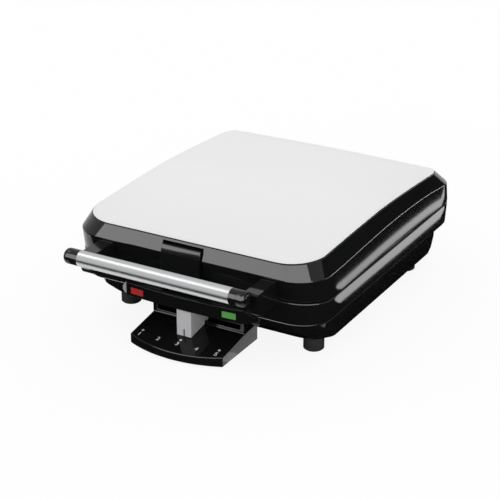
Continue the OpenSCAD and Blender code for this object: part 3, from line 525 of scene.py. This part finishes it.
# Belly rows are side, front, rear and corner; their lifts are above the clearance or the crease
base = dict(
    mouth=(102.0, 80.0, 249.5, 16.0), tuck=8, creaseUnder=0.8, creaseOver=0.6, creaseInside=1.4,
    belly=((19.5, 65, 19, 24), (16, 51, 16, 26), (13.8, 34, 13.5, 28), (12, 20, 11, 30)),
    bellyLifts=(0, 3, 9.5, 21), brow=(10.5, 10, 9.5, 33), browLift=-4, browInside=-2,
    bellyInside=((12, 20, 11, 30), (13.8, 34, 13.5, 28), (16.5, 51, 16, 26)),
    insideLifts=((22, 0), (10.5, 0.5), (3.5, 1)),
    footX=108.0, footYs=(56.5, 273.0), footRadius=10.65, footHigh=14.15, footFrom=-1,
    socketGrow=(-0.15, 1.85), socketLow=(15.5, 11.85), socketHigh=4.85,
    glandX=60.0, glandZ=31.0, glandRadius=7.15, glandBore=(293.5, 334.5),
    hingeWall=(54.5, 72.2), hingeCut=(57.5, 74.0),
    tongueCut=(-53.15, 53.15, -7.5, 41.15, 0, 46.15), fasciaCut=(-57, 57, 0, 4.8, 51.5, 57),
)


def bellyRing(row, z, inset=0):
    side, front, rear, corner = row
    return flat(halfWidth - side - inset, frontY + front + inset, rearY - rear - inset,
                corner - inset, z, base["tuck"])


def baseRings():
    w, f, r, t, tuck = halfWidth, frontY, body["corner"], body["wall"], body["tuck"]
    z, c, d, e = body["clear"], body["creaseBase"], body["rimDraft"], body["edge"]
    outside = [bellyRing(row, z + lift) for row, lift in zip(base["belly"], base["bellyLifts"])]
    inside = [bellyRing(row, z + lift + t * share, t)
              for row, (lift, share) in zip(base["bellyInside"], base["insideLifts"])]
    return [flat(*base["mouth"], z)] + outside + [
        bellyRing(base["brow"], c + base["browLift"]),
        flat(w - d - e, f + e, rearY - d - e, r - d - e, c - base["creaseUnder"], tuck),
        flat(w - d, f, rearY - d, r - d, c + base["creaseOver"], tuck),
        flat(w, f, rearY, r, baseTop - e, tuck),
        flat(w - e, f + e, rearY - e, r - e, baseTop, tuck),
        flat(w - t, f + t, rearY - t, r - t, baseTop, tuck),
        flat(w - d - t, f + t, rearY - d - t, r - d - t, c + base["creaseInside"], tuck),
        bellyRing(base["brow"], c + base["browInside"], t)] + inside + [flat(*base["mouth"], z + t)]


def glandBore():
    bore = planSlab("glandBore", roundPlan(0, 0, base["glandRadius"]), *base["glandBore"])
    shift = body["shiftY"] / 1000
    for vertex in bore.data.vertices:  # turns the upright bore to run from front to back
        x, y, z = vertex.co
        vertex.co = (x + base["glandX"] / 1000, z + shift, base["glandZ"] / 1000 + (y - shift))
    bore.data.flip_normals()
    return bore


def baseShell():
    shell = loftMesh("baseShell", supported(baseRings(), True), True)
    feet = [planSlab("footCut", roundPlan(s * base["footX"], y, base["footRadius"]),
                     base["footFrom"], base["footHigh"]) for s in (-1, 1) for y in base["footYs"]]
    bore = glandBore()
    sockets = [planSlab("footSocket", roundPlan(s * base["footX"], y, base["footRadius"] + grow),
                        low, base["footHigh"] + base["socketHigh"]) for s in (-1, 1)
               for y, grow, low in zip(base["footYs"], base["socketGrow"], base["socketLow"])]
    carve(shell, sockets + hingeWalls(*base["hingeWall"]) + deckPieces(False),
          hingeCuts(*base["hingeCut"]) + feet
          + [bore, slab("tongueCut", *base["tongueCut"]), slab("fasciaCut", *base["fasciaCut"])])
    return seatShell(shell, "black_moulding", "base", "base_housing")


tongue = dict(low=2.5, rise=8.5, root=17.0, reach=28.0, bow=11.6, neckFront=14.0)
tongueSlope = ((tongue["root"] - tongue["rise"])
               / (tongue["neckFront"] + tongue["reach"] + tongue["bow"]))
marks = dict(step=22.0, middle=3, count=5, numeralY=-25.5, dotY=-18.9, size=7.6, depth=0.05,
             lift=0.04, dotRadius=1.35, ringShare=0.55, dotSteps=32, ringAt=1, dotsAt=(3, 5))


def tongueTop(y):
    return tongue["low"] + tongue["rise"] + (y + tongue["reach"] + tongue["bow"]) * tongueSlope


def layOnTongue(piece, value, y):
    x = (value - marks["middle"]) * marks["step"]
    piece.location = toFrame((x, y, tongueTop(y) + marks["lift"]))
    piece.rotation_euler = (math.atan(tongueSlope), 0, 0)


def numeral(value):
    curve = bpy.data.curves.new("numeral", "FONT")
    curve.body = str(value)
    curve.size = marks["size"] / 1000
    curve.extrude = marks["depth"] / 1000
    curve.align_x, curve.align_y = "CENTER", "CENTER"
    piece = bpy.data.objects.new(f"numeral{value}", curve)
    bpy.context.scene.collection.objects.link(piece)
    layOnTongue(piece, value, marks["numeralY"])
    curve.materials.append(markPaint.material)
    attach(piece, "base")


def spot(value, ring):
    mesh = bmesh.new()
    outer, high, steps = marks["dotRadius"] / 1000, marks["depth"] * 2 / 1000, marks["dotSteps"]
    radii = [outer, marks["dotRadius"] * marks["ringShare"] / 1000] if ring else [outer]
    circles = [[mesh.verts.new((r * math.cos(2 * math.pi * i / steps),
                                r * math.sin(2 * math.pi * i / steps), z))
                for i in range(steps)] for r in radii for z in (0, high)]
    for a, b in ((0, 1), (1, 3), (3, 2), (2, 0)) if ring else ((0, 1),):
        for i in range(steps):
            k = (i + 1) % steps
            mesh.faces.new((circles[a][i], circles[a][k], circles[b][k], circles[b][i]))
    if not ring:
        mesh.faces.new(circles[1])
        mesh.faces.new(list(reversed(circles[0])))
    bmesh.ops.recalc_face_normals(mesh, faces=mesh.faces)
    piece = linkMesh(f"spot{value}", mesh)
    layOnTongue(piece, value, marks["dotY"])
    dress(piece, markPaint)
    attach(piece, "base")


for value in range(1, marks["count"] + 1):
    numeral(value)
spot(marks["ringAt"], True)
for value in marks["dotsAt"]:
    spot(value, False)
print("control markings placed")

# The black line on the knob's face
pointer = dict(halfWidth=0.62, front=-12.46, back=-11.98, footY=-12.5, lift=0.7, tall=7.8)


def pointerLine():
    foot = tongueTop(pointer["footY"])
    piece = slab("pointerLine", -pointer["halfWidth"], pointer["halfWidth"], pointer["front"],
                 pointer["back"], foot + pointer["lift"], foot + pointer["tall"])
    dress(piece, pointerPaint)
    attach(piece, "slider")


pointerLine()
skin = steelSkin()
lidCase, baseCase = lidShell(), baseShell()
print("housings and steel skin made")

# The pieces that come straight from the frame: rounded edges and a finish each
rounding = dict(common=0.0003, handle=0.0007, control=0.0009, latch=0.0005)
widths = {
    "handle_arm_left": rounding["handle"], "handle_arm_right": rounding["handle"],
    "control_tongue": rounding["control"], "control_fascia": rounding["control"],
    "latch_lever": rounding["latch"], "slider_knob": rounding["latch"],
}
replacedPieces = ("lid_panel", "lid_housing", "base_housing")
# browning_control, behind the slot in the neck, is given the black moulding in place of its own
# finish: painted shade in the slot
shadePaintedPieces = ("browning_control",)
blackPieces = [lidCase, baseCase]
unmatched = []
for name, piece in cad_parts.items():
    if name in replacedPieces:
        continue
    for holder in piece.material_slots:
        slotName = holder.material.name.split(".")[0] if holder.material else ""
        if slotName in finishes:
            # Painted shade: the listed pieces take the black moulding instead of their own finish
            shown = "black_moulding" if name in shadePaintedPieces else slotName
            holder.material = finishes[shown].material
            if slotName == "black_moulding":
                blackPieces.append(piece)
        else:
            unmatched.append((name, slotName))
    soften(piece, widths.get(name, rounding["common"]))
print("carried-over pieces finished, unmatched:", unmatched)

# Metres; the sheets that paint dark reflections are x0, x1, y0, y1 on the floor, and the back one
# stands between its two points
stage = dict(whiteShare=0.90, floorSize=14.0, floorLow=(0.90, 0.90, 0.90),
             floorHigh=(0.93, 0.93, 0.93), floorRough=0.9,
             flagLow=(0.004, 0.004, 0.004), flagHigh=(0.008, 0.008, 0.008), flagHeight=0.0008,
             flags=dict(front=(-0.75, 0.62, -0.90, -0.150), under=(-0.156, 0.156, -0.130, 0.215),
                        right=(0.166, 1.05, -0.150, 1.00), rear=(-0.156, 0.166, 0.215, 0.60)),
             backFlag=((0.55, 2.15), (2.15, 0.75), 0.0, 1.05),
             skyStops=[(0.0, (0.22, 0.22, 0.22)), (0.26, (1.06, 1.06, 1.06))])


def sheet(name, corners, finish):
    mesh = bmesh.new()
    mesh.faces.new([mesh.verts.new(corner) for corner in corners])
    piece = linkMesh(name, mesh)
    dress(piece, finish)
    return piece


def onFloor(x0, x1, y0, y1, z=0):
    return [(x, y, z) for x, y in ((x0, y0), (x1, y0), (x1, y1), (x0, y1))]


def paperFloor():
    finish = Finish("floorFinish")
    cloud = finish.noise(2, 2)
    finish.set({"Base Color": finish.tint(cloud, stage["floorLow"], stage["floorHigh"]),
                "Roughness": stage["floorRough"]})
    paper = finish.add("ShaderNodeEmission", {}, {"Color": (1, 1, 1, 1), "Strength": 1.0})
    seen = finish.add("ShaderNodeMixShader", {}, {
        0: finish.sees() * stage["whiteShare"], 1: Value(finish, finish.shader.outputs[0]),
        2: paper})
    finish.feed(finish.tree.nodes["Material Output"].inputs["Surface"], seen)
    half = stage["floorSize"] / 2
    sheet("studioFloor", onFloor(-half, half, -half, half), finish)


paperFloor()

# Painted dark reflection: a near-black finish for the sheets that only reflections see
flagFinish = Finish("flagFinish")
darkReflectionCloud = flagFinish.noise(3, 2)
flagFinish.set({"Base Color": flagFinish.tint(darkReflectionCloud, stage["flagLow"], stage["flagHigh"]),
                "Roughness": stage["floorRough"]})
flagFinish.shader.inputs["Specular IOR Level"].default_value = 0.0


# Painted dark reflection: a near-black sheet that only glossy rays see, so the black mouldings
# mirror darkness where the white floor would show; it casts no shadow and the camera never sees it
def blackFlag(name, corners):  # a board that only reflections see
    flag = sheet(name, corners, flagFinish)
    flag.visible_camera = flag.visible_diffuse = False
    flag.visible_shadow = flag.visible_transmission = False


for sheetName, sides in stage["flags"].items():
    blackFlag(sheetName + "Flag", onFloor(*sides, stage["flagHeight"]))
(x0, y0), (x1, y1), z0, z1 = stage["backFlag"]
blackFlag("backFlag", [(x0, y0, z0), (x1, y1, z0), (x1, y1, z1), (x0, y0, z1)])

world = bpy.data.worlds.new("studio")
bpy.context.scene.world = world
world.use_nodes = True
world.node_tree.nodes.clear()
studio = Network(world.node_tree)
height = studio.add("ShaderNodeSeparateXYZ", {}, {0: studio.add("ShaderNodeTexCoord")}, output="Z")
sky = studio.add("ShaderNodeValToRGB", dict(stops=stage["skyStops"]), {0: height})
daylight = studio.add("ShaderNodeBackground", {}, {"Color": sky})
paperSky = studio.add("ShaderNodeBackground", {}, {"Color": (1, 1, 1, 1)})
studio.add("ShaderNodeOutputWorld", {}, {"Surface": studio.add("ShaderNodeMixShader", {}, {
    0: studio.sees(), 1: daylight, 2: paperSky})})


def groupOf(name, pieces):
    group = bpy.data.collections.new(name)
    for piece in pieces:
        if piece.name not in group.objects:
            group.objects.link(piece)
    return group


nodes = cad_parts
receivers = dict(
    everything=None, black=groupOf("blackPieces", blackPieces),
    tube=groupOf("tubePiece", [nodes["handle_caps"], nodes["handle_tube"]]),
    tongue=groupOf("tonguePiece", [nodes["control_tongue"]]),
    base=groupOf("basePiece", [baseCase]), steel=groupOf("steelPiece", [skin]),
)


def softLight(name, place, target, size, radiance, receiver="everything"):
    data = bpy.data.lights.new(name, "AREA")
    data.shape, (data.size, data.size_y) = "RECTANGLE", size
    data.energy = radiance * math.pi * size[0] * size[1]
    lamp = bpy.data.objects.new(name, data)
    lamp.location = place
    aim = Vector(target or (place[0], place[1], cards["above"])) - Vector(place)
    lamp.rotation_euler = aim.to_track_quat("-Z", "Y").to_euler()
    lamp.visible_camera = False
    if receivers[receiver]:
        lamp.visible_diffuse = False
        lamp.light_linking.receiver_collection = receivers[receiver]
    bpy.context.scene.collection.objects.link(lamp)


# The near-black sheets paint dark reflections into the black mouldings, and the one under the body
# stands for the shade beneath it; the returns give the steel back the pale studio behind them. Each
# card is place, target (None faces straight up), size, radiance and what it lights.
cards = dict(above=1.0, returnHeight=0.0012, returnAhead=0.01, returned=1.25)
cardHeight = 0.0016
cardList = dict(
    overheadLight=((-0.30, 0.50, 2.20), (0, 0, 0.05), (1.4, 1.4), 0.08, "everything"),
    steelCard=((-0.93, 1.58, 0.98), (0, 0, 0.12), (0.80, 0.55), 0.10, "steel"),
    frontCard=((-0.72, -2.05, 1.20), (0, -0.14, 1.20), (1.95, 2.37), 8.0, "black"),
    cornerCard=((1.14, -1.557, 1.20), (-0.114, -0.128, 1.20), (2.50, 2.37), 8.0, "black"),
    lidBandCard=((0.2335, 0.255, cardHeight), None, (0.0110, 0.37), 3.4, "black"),
    baseBandCard=((0.1880, 0.1650, cardHeight), None, (0.0115, 0.31), 2.8, "black"),
    creaseCard=((0.64, 0.66, cardHeight), None, (0.26, 1.20), 13.0, "black"),
    baseCreaseCard=((0.02, -0.141, cardHeight), None, (0.32, 0.018), 9.0, "base"),
    tubeCard=((-0.05, -0.235, cardHeight), None, (0.50, 0.13), 1.3, "tube"),
    tubeTopCard=((-1.0, -0.58, 1.75), (0, -0.20, 0.10), (1.3, 0.34), 3.0, "tube"),
    tongueCard=((0.062, -0.115, cardHeight), None, (0.016, 0.09), 1.2, "tongue"),
)
for sheetName, (x0, x1, y0, y1) in stage["flags"].items():
    softLight(sheetName + "Return", ((x0 + x1) / 2, (y0 + y1) / 2, cards["returnHeight"]), None,
              (x1 - x0, y1 - y0), cards["returned"], "steel")
(x0, y0), (x1, y1), z0, z1 = stage["backFlag"]
middleZ, ahead = (z0 + z1) / 2, cards["returnAhead"]
softLight("backReturn", ((x0 + x1) / 2 - ahead, (y0 + y1) / 2 - ahead, middleZ), (0, 0, middleZ),
          (math.hypot(x1 - x0, y1 - y0), z1 - z0), cards["returned"], "steel")
for cardName, card in cardList.items():
    softLight(cardName, *card)

view = dict(place=(0.75195, -1.33654, 0.73996), tilt=65.8, turn=29.69, lens=115.46, sensor=36)
camera = bpy.data.cameras.new("camera")
camera.lens, camera.sensor_width = view["lens"], view["sensor"]
cameraHolder = bpy.data.objects.new("camera", camera)
cameraHolder.location = view["place"]
cameraHolder.rotation_euler = (math.radians(view["tilt"]), 0, math.radians(view["turn"]))
bpy.context.scene.collection.objects.link(cameraHolder)
bpy.context.scene.camera = cameraHolder
bpy.context.scene.view_settings.view_transform = "Standard"
print("stage, lights and camera set")
